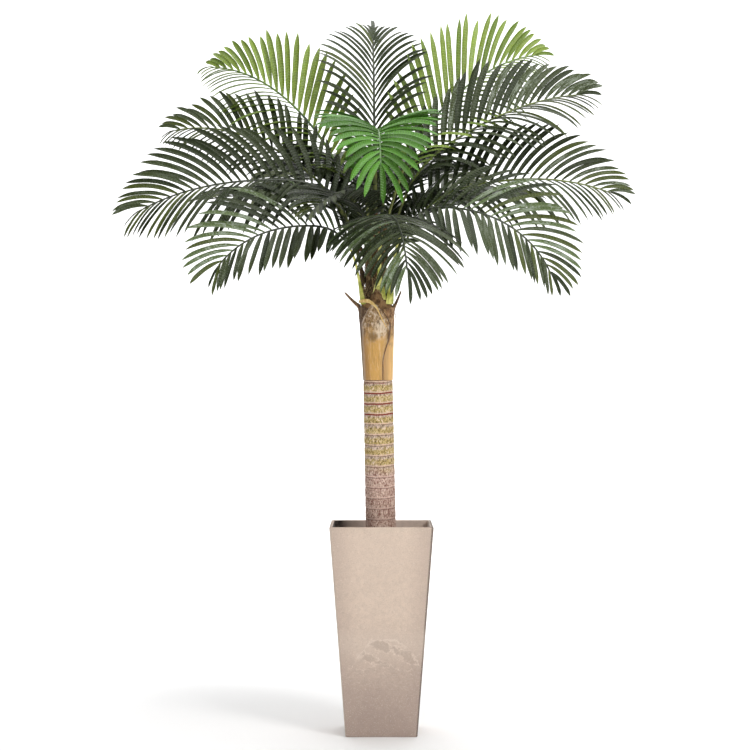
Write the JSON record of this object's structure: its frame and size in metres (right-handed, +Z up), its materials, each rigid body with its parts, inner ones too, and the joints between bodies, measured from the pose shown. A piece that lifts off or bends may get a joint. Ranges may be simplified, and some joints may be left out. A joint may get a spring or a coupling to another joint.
{
  "type": "artificial palm tree in a planter",
  "caption": "Artificial feather palm with a ringed trunk, dry leaf boots and arching fronds, standing in a tall tapered square planter.",
  "frame": {"origin": "centre of the planter's flat underside", "axes": "+Z up along the plant's height, -Y towards its front, +X to the right as seen from the front"},
  "size_m": [1.5093, 1.1848, 2.1366],
  "materials": {
    "planter": "matte, speckled fibre clay",
    "filling": "coarse dark bark chips over gravel",
    "bark": "matte, matted fibre with rings",
    "boot": "matte, dry and streaked",
    "boot_tip": "matte",
    "fibre": "matte, tangled fibre",
    "frond_dark": "satin, embossed",
    "frond_light": "satin, embossed",
    "frond_young": "satin, embossed"
  },
  "bodies": {
    "root": {"planter": "planter", "filling": "filling", "trunk": "bark", "boot_left": "boot", "boot_right": "boot", "boot_front": "boot", "boot_back": "boot", "boot_tip_left": "boot_tip", "boot_tip_right": "boot_tip", "heart": "fibre", "frond_low_left": "frond_dark", "frond_low_front": "frond_dark", "frond_low_right": "frond_dark", "frond_low_back_right": "frond_dark", "frond_low_back": "frond_dark", "frond_low_back_left": "frond_dark", "frond_mid_left": "frond_dark", "frond_mid_right": "frond_dark", "frond_mid_back_right": "frond_dark", "frond_mid_back_left": "frond_dark", "frond_mid_front": "frond_dark", "frond_top_left": "frond_dark", "frond_top_right": "frond_dark", "frond_top_back_right": "frond_dark", "frond_top_back_left": "frond_dark", "frond_young_left": "frond_light", "frond_young_right": "frond_light", "frond_spire": "frond_dark", "frond_young_front": "frond_young"}
  },
  "joints": []
}
